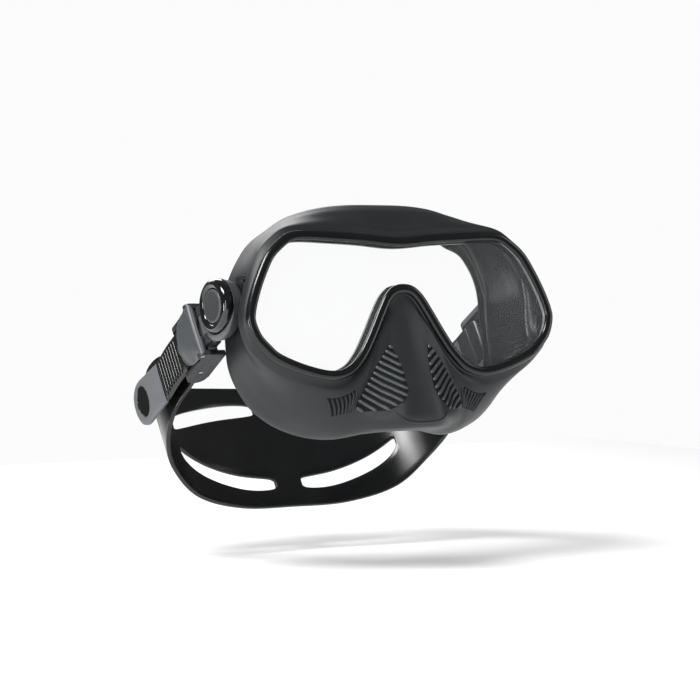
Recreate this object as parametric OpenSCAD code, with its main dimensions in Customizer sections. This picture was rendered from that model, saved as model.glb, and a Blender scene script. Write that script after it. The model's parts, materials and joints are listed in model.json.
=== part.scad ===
// Single-lens diving mask: silicone skirt, tempered lens, swivel quick-release buckles and a
// one-piece rear strap. Millimetres. +Z up, the lens faces -Y, +X is the viewer's right.
// The origin is the centre of the face seal, on the symmetry plane, level with the lens centre.

/* [Lens] */
// Distance of the lens centre in front of the origin
lens_front = 38; // [34:1:44]
// Backward lean of the lens, top away from the viewer
lens_lean = 10; // [6:1:14]
// Lens thickness
lens_thick = 3.4; // [2.8:0.2:4.4]
// Width of the rim bead seen around the lens opening
rim_width = 4.0; // [3.6:0.2:5.2]

/* [Skirt] */
// Wall thickness of the silicone next to the lens
skirt_wall = 2.2; // [1.8:0.2:2.6]
// Thickness of the seal lip at its free edge
lip_thick = 1.1; // [0.8:0.1:1.6]
// Width of the turned-in seal lip
lip_width = 8; // [5:0.5:10]

/* [Swivel] */
// Half the distance between the two swivel seats
swivel_half = 69; // [68.8:0.2:74]
// Swivel axis behind the lens centre
swivel_back = 19; // [18.6:0.2:22]
// Height of the swivel axis above the lens centre
swivel_up = 2; // [0:0.5:5]
// Hang of the buckles and strap below the horizontal at rest
hang = 33; // [20:1:40]
// Radius of the swivel post
post_r = 4; // [3:0.1:4.5]
// Radius of the release button
button_r = 7; // [6.2:0.1:7.4]
// How far the release button goes in
button_travel = 1; // [0.6:0.1:1.2]
// Outer radius of the bezel ring
bezel_r = 11.2; // [10.8:0.1:11.4]
// How far the bezel ring stands out from its seat
bezel_n = 11.4; // [10.8:0.2:12.4]

/* [Strap] */
// Width of the strap arms
strap_width = 18.5; // [16:0.5:19.5]
// Thickness of the strap
strap_thick = 1.9; // [1.5:0.1:2.2]
// Depth of the strap teeth
tooth_depth = 0.6; // [0.3:0.1:0.8]
// Spacing of the strap teeth
tooth_pitch = 3; // [2.4:0.1:4]
// Height of the rear panel
panel_height = 61; // [50:1:72]
// Distance of the rear panel behind the swivel axis, along the strap
panel_back = 107; // [95:1:120]
// Width of the four slots in the rear panel
slot_width = 7.2; // [5:0.2:9]

/* [Buckle] */
// How far the buckle sits out from the swivel seat
buckle_out = 5.8; // [5.4:0.2:7]
// Radius of the strap roller
roller_r = 2.4; // [2:0.1:2.8]
// Radius of the steel pins
pin_r = 1; // [0.8:0.05:1.2]
// Running clearance of a pin in its bore
fit = 0.05; // [0.03:0.01:0.08]
// Length of the free tail behind the buckle
tail_length = 40; // [34:1:46]

/* [Hidden] */
$fn = 48;

gap = 0.3;
clear_r = 0.08;
swivel_y = swivel_back - lens_front;

// ---- shared helpers ----

function smooth(a, b, x) = let (t = min(1, max(0, (x - a) / (b - a)))) t * t * (3 - 2 * t);
function unit(v) = v / norm(v);

// A point between p1 and p2 on a curve through four points.
function through(p0, p1, p2, p3, t) =
    0.5 * (2 * p1 + (p2 - p0) * t + (2 * p0 - 5 * p1 + 4 * p2 - p3) * t * t
    + (3 * p1 - p0 - 3 * p2 + p3) * t * t * t);

// A point on an open curve through a list of points, at parameter s in 0 .. len - 1.
function along(list, s) =
    let (n = len(list), i = min(n - 2, floor(s)), t = s - i)
    through(i > 0 ? list[i - 1] : 2 * list[0] - list[1], list[i], list[i + 1],
        i < n - 2 ? list[i + 2] : 2 * list[n - 1] - list[n - 2], t);

// ---- lens outline and skirt net, right half, from the brow round to the nose ----
// Each row: rim x and v in the lens plane, then four points down the inside of the skirt,
// measured from the lens centre: [x, y, z].

NET = [
    [[0, 30.5], [0, 8.2, 32.6], [0, 11.5, 36.3], [0, 16.5, 40.4], [0, 22.5, 42.2]],
    [[17.5, 31.9], [17.3, 8.3, 33.9], [17, 12, 37], [16.5, 17, 40.3], [16, 23, 41.9]],
    [[32.2, 32.7], [31.8, 8.5, 34.2], [31, 12.8, 36.5], [30, 18, 39], [29, 24, 40.2]],
    [[45.6, 33.2], [45, 8.5, 33.6], [43.8, 13.8, 34.8], [42, 20.5, 36], [40.3, 27.5, 36.4]],
    [[52.5, 32.4], [51.8, 8.5, 32.2], [50.5, 15, 32], [49, 23, 31.8], [47.7, 30.5, 31]],
    [[57.7, 29.6], [57, 8, 29.2], [56.2, 15, 28.6], [55.5, 24, 27.6], [54.6, 31.5, 26]],
    [[64.1, 24], [63, 7, 23.8], [61, 13, 23.4], [59.8, 23, 22.4], [58.8, 32, 20.6]],
    [[69, 16], [67.8, 5.6, 16], [65.2, 10.2, 15.8], [64.2, 22, 14.8], [63, 32, 13]],
    [[73, 7.5], [71.2, 4.2, 7.4], [67.2, 8, 7], [67, 20, 6], [65.4, 32, 5.4]],
    [[75.5, 0], [73.4, 3.2, -0.8], [67.9, 7.6, -1.6], [67.7, 19, -2.4], [66, 31.5, -3.4]],
    [[75.8, -5], [73.6, 2.6, -6.8], [68.2, 7.4, -8.6], [67.7, 18, -10.4], [66, 30, -12.6]],
    [[73.5, -11.4], [71.5, 1.4, -14], [67.8, 7, -16.6], [67, 17, -19.6], [66, 28, -22.6]],
    [[69.6, -16.2], [66.8, 0.8, -19.4], [63.8, 7.5, -23], [63.4, 17, -27.4], [63.6, 26, -31]],
    [[63.2, -21.4], [59.8, 0.4, -25], [57, 7.5, -30.2], [57.4, 15.6, -35.4], [58.6, 23.5, -39.6]],
    [[50, -26.6], [48.4, -1.5, -31], [47.6, 4, -37.4], [49, 12, -43], [51, 20, -46.2]],
    [[37.4, -29], [37.4, -3, -34.5], [38, 1.6, -41.4], [39.4, 9.6, -47.4], [41.4, 18.4, -50.2]],
    [[28, -26.6], [29.4, -4.3, -33], [31.6, -1.4, -40.6], [32.8, 5.6, -48.4], [33, 16.4, -52]],
    [[21.2, -20.4], [22.8, -4, -28], [27, -2.9, -39.6], [27.8, 3.2, -48.8], [26.4, 13.8, -52]],
    [[15.6, -12.2], [17.4, -3.2, -21], [22.8, -4.6, -40], [23.6, 0.6, -48.4], [20.6, 12.6, -51]],
    [[10, -2.6], [12.2, -3, -15], [17.6, -7.8, -40.8], [18.8, -2.4, -47.9], [15.4, 12.1, -49.8]],
    [[6.5, 3], [8.8, -3.8, -15.4], [12.6, -12.2, -41.2], [13.4, -6, -47.6], [10.2, 12, -49]],
    [[3.4, 5.9], [5.2, -5.2, -16.4], [7.2, -15.6, -41.5], [7.8, -9, -47.3], [5.4, 12, -48.6]],
    [[0, 6.6], [0, -5.8, -16.4], [0, -16.3, -41.5], [0, -9.8, -47.2], [0, 12, -48.5]]];

half_stations = 34;
rows = 13;

function net_at(col, s) =
    let (i = min(len(NET) - 2, floor(s)), t = s - i, n = len(NET))
    through(i > 0 ? NET[i - 1][col] : flip(NET[1][col]), NET[i][col], NET[i + 1][col],
        i < n - 2 ? NET[i + 2][col] : flip(NET[n - 2][col]), t);
function flip(p) = len(p) == 2 ? [-p[0], p[1]] : [-p[0], p[1], p[2]];

// Stations all the way round: 0 at the brow, half_stations at the nose, then the left side back.
stations = 2 * half_stations;
function half_s(k) = (k <= half_stations ? k : stations - k) * (len(NET) - 1) / half_stations;
function side_of(k) = k <= half_stations ? 1 : -1;
function put(p, k) = side_of(k) > 0 ? p : flip(p);
RIM = [for (k = [0 : stations - 1]) put(net_at(0, half_s(k)), k)];

// Inward normal of the rim outline at each station.
function turn(v) = [v[1], -v[0]];
INWARD = [for (k = [0 : stations - 1])
    unit(turn(RIM[(k + 1) % stations] - RIM[(k + stations - 1) % stations]))];
function rim_in(k, d) = RIM[k] + INWARD[k] * d;

// From lens-plane coordinates to the part's frame: v up the lens, q out of its front.
function from_lens(p, q) = [p[0],
    p[1] * sin(lens_lean) - q * cos(lens_lean) - lens_front,
    p[1] * cos(lens_lean) + q * sin(lens_lean)];
function rim_point(k, d, q) = from_lens(rim_in(k, d), q);

slot_q = lens_thick / 2 + gap;
bead_q = slot_q + 1.5;

// Inside of the skirt: row 0 under the bead, the last row the free edge of the lip.
function shift(p) = [p[0], p[1] - lens_front, p[2]];
LIP_CENTRE = [0, 27, -6];
function lip_at(p) = lip_width * (1 - 0.55 * smooth(38, 62, p[0]));
function lip_of(p) =
    let (c = [p[0] * 0.55, 0, LIP_CENTRE[2] + (p[2] - LIP_CENTRE[2]) * 0.35],
        d = unit([c[0] - p[0], 0, c[2] - p[2]]))
    p + d * lip_at(p) + [0, 0.35 * lip_at(p), 0];
function skirt_column(k) =
    let (s = half_s(k), e = net_at(4, s))
    concat([rim_point(k, 0.3, -0.8)],
        [for (c = [1 : 4]) shift(put(net_at(c, s), k))],
        [shift(put(lip_of(e), k))]);
COLUMNS = [for (k = [0 : stations - 1]) skirt_column(k)];
INSIDE = [for (k = [0 : stations - 1]) [for (r = [0 : rows]) along(COLUMNS[k], 5 * r / rows)]];
function wall_at(r) = skirt_wall + (lip_thick - skirt_wall) * smooth(0.5, 1, r / rows);
function outward(k, r) =
    let (a = INSIDE[(k + 1) % stations][r] - INSIDE[(k + stations - 1) % stations][r],
        b = INSIDE[k][min(rows, r + 1)] - INSIDE[k][max(0, r - 1)])
    unit(cross(a, b));
OUTSIDE = [for (k = [0 : stations - 1]) [for (r = [1 : rows])
    INSIDE[k][r] + outward(k, r) * wall_at(r)]];

function section(k) = concat(
    [rim_point(k, rim_width, slot_q), rim_point(k, rim_width - 0.4, bead_q - 0.3),
    rim_point(k, rim_width / 2, bead_q), rim_point(k, 0.6, bead_q - 0.7),
    rim_point(k, 0, slot_q - 0.6)],
    OUTSIDE[k],
    [for (r = [rows : -1 : 1]) INSIDE[k][r]],
    [rim_point(k, rim_width - 0.6, -slot_q - 1.7), rim_point(k, rim_width + 0.2, -slot_q - 1.3),
    rim_point(k, rim_width + 0.2, -slot_q), rim_point(k, 1, -slot_q), rim_point(k, 1, slot_q)]);

// A closed tube through equal sections placed round a loop.
module ring_loft(sections) {
    n = len(sections);
    m = len(sections[0]);
    polyhedron(points = [for (s = sections) each s],
        faces = [for (k = [0 : n - 1]) for (j = [0 : m - 1])
            let (a = k * m + j, b = k * m + (j + 1) % m, c = ((k + 1) % n) * m + (j + 1) % m,
                d = ((k + 1) % n) * m + j)
            each [[a, b, c], [a, c, d]]], convexity = 8);
}

module skirt() {
    color("#46484a") ring_loft([for (k = [0 : stations - 1]) section(k)]);
}

module lens_space() {
    translate([0, -lens_front, 0])
        rotate([90 - lens_lean, 0, 0])
            children();
}

function outline(d) = [for (k = [0 : stations - 1]) rim_in(k, d)];

module lens() {
    color("#dfe8ea") lens_space()
        translate([0, 0, -lens_thick / 2])
            linear_extrude(lens_thick)
                polygon(outline(2.4));
}

module inner_frame() {
    color("#9a9da0") lens_space()
        translate([0, 0, -lens_thick / 2])
            linear_extrude(lens_thick)
                difference() {
                    polygon(outline(1.3));
                    polygon(outline(2.1));
                }
}

// ---- one side of the buckle work, drawn on the right: X is out from the seat ----

module on_side(s) {
    if (s > 0)
        translate([swivel_half, swivel_y, swivel_up]) children();
    else
        mirror([1, 0, 0]) translate([swivel_half, swivel_y, swivel_up]) children();
}
module hung(s) {
    on_side(s) rotate([-hang, 0, 0]) children();
}
// The same, moved to where the fold pin meets the neck of the housing.
module folded(s) {
    hung(s) translate([neck_n - fold_n, neck_u - fold_u, 0]) children();
}
// A cylinder along the swivel axis, from n0 to n1.
module disc(r, n0, n1) {
    translate([n0, 0, 0]) rotate([0, 90, 0]) cylinder(r = r, h = n1 - n0);
}
// A cylinder across the strap, w0 to w1, at u along the strap and n out.
module across(r, n, u, w0, w1) {
    translate([n, u, w0]) cylinder(r = r, h = w1 - w0);
}

plate_n = 1;
floor_n = 5.2;
head_n = floor_n + 0.4;
base_r = bezel_r - 0.4;
post_bore = post_r + clear_r;
head_r = post_r + 1.2;
well_r = button_r + 0.6;
button_top = bezel_n - 0.5;
button_low = bezel_n - 2.2;

module mount(s) {
    color("#1d1f22") on_side(s) {
        disc(base_r - 1, 0.1, plate_n);
        translate([0.1, -base_r - 0.5, -8.5])
            cube([plate_n - 0.1, base_r - 2, 20.5]);
        translate([0, -base_r + 0.9, 11.2])
            disc(1.3, 0.1, 2.4);
    }
}
module post(s) {
    color("#b9bcbf") on_side(s) {
        disc(post_r, plate_n, head_n);
        disc(head_r, head_n, head_n + 0.8);
    }
}

fold_u = 14;
fold_n = 4.2;
neck_u = 14.6;
neck_n = buckle_out;
fold_r = 1.25;
barrel_r = 3.2;
barrel_half = 4.4;

module housing(s) {
    color("#55585b") hung(s) difference() {
        union() {
            disc(base_r, plate_n + 0.3, floor_n + 1.4);
            difference() {
                disc(bezel_r + 1.9, plate_n + 0.3, bezel_n - 1.6);
                disc(bezel_r + 0.2, floor_n + 1.4, bezel_n);
                translate([0, -20, -3])
                    cube([20, 40, 30]);
                translate([0, -20, -20])
                    cube([20, 16, 40]);
            }
            translate([plate_n + 0.3, 9, -barrel_half])
                cube([neck_n - plate_n - 0.3, neck_u - 9, 2 * barrel_half]);
            across(barrel_r, neck_n, neck_u, -barrel_half, barrel_half);
        }
        disc(post_bore, 0, floor_n + 0.1);
        disc(well_r, floor_n, 12);
        across(fold_r + fit, neck_n, neck_u, -barrel_half - 1, barrel_half + 1);
        across(barrel_r + gap, neck_n, neck_u, -cheek_in, -barrel_half - 0.1);
        difference() {
            disc(bezel_r + 0.2, floor_n + 1.4, 14);
            disc(well_r, floor_n, 15);
        }
    }
}
module bezel(s) {
    color("#202225") hung(s) rotate([0, 90, 0]) rotate_extrude() polygon([
        [button_r + 0.25, bezel_n - 2.4], [button_r + 0.25, bezel_n - 0.9],
        [button_r + 0.9, bezel_n - 0.2], [bezel_r - 2.2, bezel_n], [bezel_r - 0.8, bezel_n - 0.8],
        [bezel_r, bezel_n - 2.2], [bezel_r, floor_n + 1.45], [well_r + 0.1, floor_n + 1.45],
        [well_r + 0.1, bezel_n - 2.4]]);
}
module button(s) {
    color("#444547") hung(s) {
        disc(button_r, button_low, button_top);
    }
}

// A round wire wound along X.
module coil(r, wire, n0, n1, turns) {
    steps = 20 * turns;
    sides = 8;
    pitch = (n1 - n0 - 2 * wire) / steps;
    ring = [for (i = [0 : steps]) let (a = 360 * i / 20, x = n0 + wire + pitch * i)
        [for (j = [0 : sides - 1]) let (b = 360 * j / sides, q = r + wire * cos(b))
            [x + wire * sin(b), q * cos(a), q * sin(a)]]];
    polyhedron(points = [for (s = ring) each s],
        faces = concat([[for (j = [sides - 1 : -1 : 0]) j]],
            [[for (j = [0 : sides - 1]) steps * sides + j]],
            [for (i = [0 : steps - 1]) for (j = [0 : sides - 1])
                let (a = i * sides + j, b = i * sides + (j + 1) % sides)
                [a, b, b + sides, a + sides]]), convexity = 6);
}
module button_spring(s) {
    color("#b9bcbf") hung(s)
        coil(button_r - 0.6, 0.3, floor_n + 0.05, button_low - 0.05, 3);
}
module fold_pin(s) {
    color("#b9bcbf") folded(s)
        across(fold_r, fold_n, fold_u, -cheek_in + 1.9, cheek_in - 1.9);
}

// Strap layers through the buckle.
roll_u = 32;
roll_n = 3;
layer_in = roll_r_out() + strap_thick;
function roll_r_out() = roller_r + gap;
standing_n = roll_n - roll_r_out() - strap_thick / 2;
free_n = roll_n + roll_r_out() + strap_thick / 2;
join_u = roll_u + 2.5;
strap_half = strap_width / 2;
cheek_in = max(strap_half, 8.5) + 0.95;
cheek_out = cheek_in + 2.2;
lever_u = 19;
lever_n = free_n + strap_thick / 2 + 0.5;
hub_r = 2.1;
cheek_low = standing_n - strap_thick / 2 - 0.3;
cheek_top = free_n + strap_thick / 2;

module cheek(w0) {
    difference() {
        union() {
            translate([cheek_low, 17, w0])
                cube([cheek_top - cheek_low, 18.5, 2.2]);
            across(cheek_top - roll_n, roll_n, 35.5, w0, w0 + 2.2);
            across(hub_r, lever_n, lever_u, w0, w0 + 2.2);
            translate([lever_n - 3, lever_u - hub_r, w0])
                cube([3, 2 * hub_r, 2.2]);
        }
        across(pin_r + 0.02, roll_n, roll_u, w0 - 1, w0 + 4);
        across(pin_r + 0.02, lever_n, lever_u, w0 - 1, w0 + 4);
        translate([cheek_low - 20, 17, w0 - 1])
            cube([20, 40, 5]);
    }
}
module frame(s) {
    ear = barrel_half + 0.3;
    color("#4a4c4f") folded(s) {
        cheek(cheek_in);
        cheek(-cheek_in - 2.2);
        difference() {
            union() {
                translate([1.2, 17.2, -cheek_in - 0.5])
                    cube([3.9, 3.4, 2 * cheek_in + 1]);
                for (w0 = [ear, -cheek_in + 1.5]) {
                    across(barrel_r, fold_n, fold_u, w0, w0 + cheek_in - 1.5 - ear);
                    translate([1.2, fold_u, w0])
                        cube([5.6, 5, cheek_in - 1.5 - ear]);
                }
            }
            across(fold_r + 0.02, fold_n, fold_u, -20, 20);
            across(hub_r + 0.3, lever_n, lever_u, -cheek_in, cheek_in);
        }
    }
}
module lever(s) {
    top = lever_n + 1.9;
    leaf_n = cheek_top + 0.35;
    color("#5e6164") folded(s) difference() {
        union() {
            for (w0 = [3.2, -cheek_in + 0.25])
                across(hub_r, lever_n, lever_u, w0, w0 + cheek_in - 3.45);
            translate([leaf_n, lever_u, -cheek_in + 0.25])
                cube([top - leaf_n, hub_r + 0.8, 2 * cheek_in - 0.5]);
            intersection() {
                translate([leaf_n, lever_u + hub_r + 0.3, -cheek_out + 0.4])
                    cube([top - leaf_n, 16, 2 * cheek_out - 0.8]);
                disc(lever_u + hub_r + 17.5, 0, 30);
            }
        }
        across(pin_r + fit, lever_n, lever_u, -20, 20);
        translate([leaf_n - 3, lever_u - 3, -3])
            cube([8, 3 + hub_r, 6]);
    }
}
module lever_pin(s) {
    color("#b9bcbf") folded(s)
        across(pin_r, lever_n, lever_u, -cheek_out + 0.2, cheek_out - 0.2);
}
module lever_spring(s) {
    color("#b9bcbf") folded(s)
        translate([lever_n, lever_u, 0]) rotate([0, -90, 0])
            coil(pin_r + 0.45, 0.25, -2.6, 2.6, 4);
}
module roller(s) {
    color("#303235") folded(s) difference() {
        across(roller_r, roll_n, roll_u, -cheek_in + 0.3, cheek_in - 0.3);
        across(pin_r + fit, roll_n, roll_u, -20, 20);
    }
}
module axle(s) {
    color("#b9bcbf") folded(s)
        across(pin_r, roll_n, roll_u, -cheek_out + 0.2, cheek_out - 0.2);
}
module strap_loop(s) {
    color("#17181a") folded(s) difference() {
        union() {
            across(layer_in, roll_n, roll_u, -strap_half, strap_half);
            translate([roll_n - layer_in, roll_u, -strap_half])
                cube([2 * layer_in, join_u - roll_u, strap_width]);
        }
        across(roll_r_out(), roll_n, roll_u, -20, 20);
        translate([roll_n - roll_r_out(), roll_u, -20])
            cube([2 * roll_r_out(), 20, 40]);
        translate([roll_n - 10, join_u, -20])
            cube([20, 20, 40]);
    }
}

// ---- strap bands: a grid of cells, some left open, given a thickness ----
// path: [n, u] middle line; lines: heights across the band at each station, same count;
// off: [outer, inner] half thickness at each station; open: [station, row] cells left out.

module band(path, lines, off, open) {
    n = len(path);
    m = len(lines[0]);
    dir = [for (i = [0 : n - 1]) unit(path[min(n - 1, i + 1)] - path[max(0, i - 1)])];
    pts = [for (i = [0 : n - 1]) for (j = [0 : m - 1]) for (f = [1, -1])
        let (nn = [dir[i][1], -dir[i][0]], t = f > 0 ? off[i][0] : -off[i][1])
        [path[i][0] + nn[0] * t, path[i][1] + nn[1] * t, lines[i][j]]];
    function id(i, j, f) = 2 * (i * m + j) + f;
    function full(i, j) = i >= 0 && i < n - 1 && j >= 0 && j < m - 1 && !open[i][j];
    polyhedron(points = pts, convexity = 10, faces = [
        for (i = [0 : n - 2]) for (j = [0 : m - 2]) if (full(i, j)) each concat(
            [[id(i, j, 0), id(i, j + 1, 0), id(i + 1, j + 1, 0)],
            [id(i, j, 0), id(i + 1, j + 1, 0), id(i + 1, j, 0)],
            [id(i, j, 1), id(i + 1, j + 1, 1), id(i, j + 1, 1)],
            [id(i, j, 1), id(i + 1, j, 1), id(i + 1, j + 1, 1)]],
            full(i - 1, j) ? [] : [[id(i, j, 0), id(i, j, 1), id(i, j + 1, 1)],
                [id(i, j, 0), id(i, j + 1, 1), id(i, j + 1, 0)]],
            full(i + 1, j) ? [] : [[id(i + 1, j, 0), id(i + 1, j + 1, 1), id(i + 1, j, 1)],
                [id(i + 1, j, 0), id(i + 1, j + 1, 0), id(i + 1, j + 1, 1)]],
            full(i, j - 1) ? [] : [[id(i, j, 0), id(i + 1, j, 1), id(i, j, 1)],
                [id(i, j, 0), id(i + 1, j, 0), id(i + 1, j, 1)]],
            full(i, j + 1) ? [] : [[id(i, j + 1, 0), id(i, j + 1, 1), id(i + 1, j + 1, 1)],
                [id(i, j + 1, 0), id(i + 1, j + 1, 1), id(i + 1, j + 1, 0)]])]);
}

// Tooth profile along the strap: full thickness at a tooth, less between teeth.
function tooth(u) = let (p = u / tooth_pitch - floor(u / tooth_pitch)) p < 0.5 ? 0 : tooth_depth;

half_t = strap_thick / 2;
arm_steps = 14;
curve_steps = 28;
droop_end = 9;
slot_a = 4.7;
slot_b = 6.75;

// Half of the middle line, from the right buckle to the rear centre: [x, u].
START = [swivel_half + neck_n - fold_n + standing_n, join_u + neck_u - fold_u + gap];
RUN = START + [0, 15];
REACH = panel_back - 107;
BOW = [START, RUN, [START[0] + 4, 62 + REACH * 0.3], [72.4, 76 + REACH * 0.6],
    [65.5, 88.5 + REACH], [51, 99 + REACH], [27, 105.6 + REACH], [0, 107 + REACH]];
function bow_s(i) = i < arm_steps ? i / arm_steps : 1 + 6 * (i - arm_steps) / curve_steps;
RIGHT = [for (i = [0 : arm_steps + curve_steps]) let (q = bow_s(i),
    p = q <= 1 ? START + (RUN - START) * q : along(concat(BOW, [[-27, 105.6 + REACH]]), q))
    [p[0], p[1], q]];
HALF_N = len(RIGHT);
STRAP = concat(RIGHT, [for (i = [HALF_N - 2 : -1 : 0]) [-RIGHT[i][0], RIGHT[i][1], RIGHT[i][2]]]);

WIDEN = [0, 0, 0.22, 0.4, 0.56, 0.86, 1, 1];
function spread(q) = strap_half + (panel_height / 2 - strap_half) * along(WIDEN, q);
function slot_q_of(q) = (q - slot_a) / (slot_b - slot_a);
function middle(q) = -droop_end * smooth(1, 5.5, q);
function strap_lines(q) =
    let (h = spread(q), c = middle(q), t = min(1, max(0, slot_q_of(q))),
        m = (0.25 + 0.37 * pow(sin(90 * t), 0.8)) * h,
        k = q < slot_a - 0.5 ? 1
            : slot_width / 2 * (0.45 + 0.55 * pow(max(0, 1 - pow(abs(2 * t - 1), 4)), 0.5)))
    [c - h, c - m - k, c - m + k, c + m - k, c + m + k, c + h];
function is_slot(i) =
    let (a = STRAP[i][2], b = STRAP[i + 1][2])
    min(a, b) >= slot_a && max(a, b) <= slot_b;

module strap() {
    n = len(STRAP);
    color("#17181a") translate([0, swivel_y, swivel_up]) rotate([-hang, 0, 0])
        band([for (p = STRAP) [p[0], p[1]]], [for (p = STRAP) strap_lines(p[2])],
            [for (i = [0 : n - 1]) let (k = min(i, n - 1 - i))
                [half_t, half_t - (k > 0 && k < arm_steps && k % 3 == 1 ? tooth_depth : 0)]],
            [for (i = [0 : n - 2]) [false, is_slot(i), false, is_slot(i), false]]);
}

tail_steps = 30;
module tail(s) {
    u0 = join_u + gap;
    us = [for (i = [0 : tail_steps]) u0 + tail_length * i / tail_steps];
    grip = u0 + tail_length * 0.58;
    end = u0 + tail_length;
    color("#1b1c1e") folded(s)
        band([for (u = us) [free_n + 6 * smooth(grip - 4, end + 6, u), u]],
            [for (u = us) let (c = -7.5 * pow(max(0, u - u0 - 8) / tail_length, 1.6),
                    h = strap_half + 1.2 * smooth(grip, end, u)
                        - (u > end - 4 ? 3.5 * pow((u - end + 4) / 4, 2) : 0))
                [c - h, c - h * 0.45, c, c + h * 0.45, c + h]],
            [for (u = us) [half_t - (u > u0 + 2 && u < grip ? tooth(u) : 0)
                + 0.5 * smooth(grip, grip + 3, u), half_t + 0.4 * smooth(grip, end, u)]],
            [for (i = [0 : tail_steps - 1]) [false, false, false, false]]);
}

skirt();
lens();
inner_frame();
mount(-1);  // mount_left
mount(1);  // mount_right
post(-1);  // post_left
post(1);  // post_right
housing(-1);  // housing_left
housing(1);  // housing_right
bezel(-1);  // bezel_left
bezel(1);  // bezel_right
button(-1);  // button_left
button(1);  // button_right
button_spring(-1);  // button_spring_left
button_spring(1);  // button_spring_right
fold_pin(-1);  // fold_pin_left
fold_pin(1);  // fold_pin_right
frame(-1);  // frame_left
frame(1);  // frame_right
lever(-1);  // lever_left
lever(1);  // lever_right
lever_pin(-1);  // lever_pin_left
lever_pin(1);  // lever_pin_right
lever_spring(-1);  // lever_spring_left
lever_spring(1);  // lever_spring_right
roller(-1);  // roller_left
roller(1);  // roller_right
axle(-1);  // axle_left
axle(1);  // axle_right
strap_loop(-1);  // strap_loop_left
strap_loop(1);  // strap_loop_right
tail(-1);  // tail_left
tail(1);  // tail_right
strap();
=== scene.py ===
"""Diving mask: the visual model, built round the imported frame. Sizes in the tables are millimetres."""

import json
import math

import bmesh
import bpy
from bpy.props import FloatProperty, IntProperty, PointerProperty, StringProperty
from bpy.types import Operator, Panel, PropertyGroup
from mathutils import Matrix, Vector


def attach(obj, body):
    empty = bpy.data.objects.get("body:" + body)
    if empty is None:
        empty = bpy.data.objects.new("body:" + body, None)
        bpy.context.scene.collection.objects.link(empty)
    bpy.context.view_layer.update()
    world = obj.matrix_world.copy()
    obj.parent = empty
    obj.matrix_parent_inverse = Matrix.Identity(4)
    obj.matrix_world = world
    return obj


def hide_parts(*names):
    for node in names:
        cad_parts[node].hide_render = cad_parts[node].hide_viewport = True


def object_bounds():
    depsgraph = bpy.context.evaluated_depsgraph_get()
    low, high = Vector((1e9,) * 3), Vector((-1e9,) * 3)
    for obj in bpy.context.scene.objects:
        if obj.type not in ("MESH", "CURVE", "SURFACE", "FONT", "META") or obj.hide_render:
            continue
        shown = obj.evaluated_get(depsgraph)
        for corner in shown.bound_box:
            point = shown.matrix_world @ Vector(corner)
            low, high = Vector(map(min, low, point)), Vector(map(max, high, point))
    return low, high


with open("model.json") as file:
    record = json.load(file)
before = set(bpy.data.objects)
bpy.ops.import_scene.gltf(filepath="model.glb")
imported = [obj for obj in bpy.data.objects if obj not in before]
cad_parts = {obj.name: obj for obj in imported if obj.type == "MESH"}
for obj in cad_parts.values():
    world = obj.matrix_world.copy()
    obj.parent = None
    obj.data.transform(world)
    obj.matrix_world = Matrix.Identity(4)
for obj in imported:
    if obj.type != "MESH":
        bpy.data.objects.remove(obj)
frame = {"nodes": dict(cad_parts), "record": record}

bl_info = {
    "name": "Diving mask",
    "version": (1, 0, 0),
    "blender": (4, 5, 0),
    "location": "3D View > Sidebar > Diving mask",
    "description": "Builds a single-lens diving mask with its buckles and strap",
    "category": "Object",
}

MM = 0.001
CAD_BOX = [list(corner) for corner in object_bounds()]
JOINTS = {joint["name"]: joint for joint in frame["record"]["behaviour"]["joints"]}
SIDES = {"left": -1, "right": 1}

# The lens plane: its centre stands in front of the origin and it leans back at the top.
LENS_FRONT = 38.0
LENS_LEAN = math.radians(10)
LENS_THICK = 3.4
RIM_WIDTH = 4.0
SLOT_Q = LENS_THICK / 2 + 0.3
BEAD_Q = SLOT_Q + 1.5

# The swivel axis and the direction of the strap, from the joints of the frame.
SWIVEL = Vector(JOINTS["swivel_right"]["pos_m"]) / MM
ALONG = Vector(JOINTS["tail_slide_right"]["axis"]).normalized()
ACROSS = Vector((0, -ALONG.z, ALONG.y))

# Sizes of the buckle work that both the frame and the looks follow.
ROLL = Vector(JOINTS["roller_spin_right"]["pos_m"]) / MM - SWIVEL
LEVER = Vector(JOINTS["lever_lift_right"]["pos_m"]) / MM - SWIVEL
ROLL_N, ROLL_U = ROLL.x, ROLL.dot(ALONG)
LEVER_N, LEVER_U = LEVER.x, LEVER.dot(ALONG)
GAP = 0.3
ROLLER_R = 2.4
TOOTH_DEPTH = 0.6
STRAP_THICK = 1.9
STRAP_HALF = 9.25
LAYER_OUT = ROLLER_R + GAP + STRAP_THICK / 2
STANDING_N = ROLL_N - LAYER_OUT
FREE_N = ROLL_N + LAYER_OUT
JOIN_U = ROLL_U + 2.5
TAIL_TOP = FREE_N + STRAP_THICK / 2 + TOOTH_DEPTH + 0.2
BEZEL_R = 11.2
BEZEL_N = 11.4
BUTTON_R = 7.0

# The barrel between the bowl and the buckle's frame, and the lever's barrel and cover.
BARREL_N, BARREL_U = ROLL_N + 1.2, ROLL_U - 18
BARREL_R, BARREL_HALF = 3.2, 4.4
LEVER_R, LEVER_HALF = 2.15, 11.5
LEVER_LENGTH = 15.0


# ---- sizes and colours ----


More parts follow.
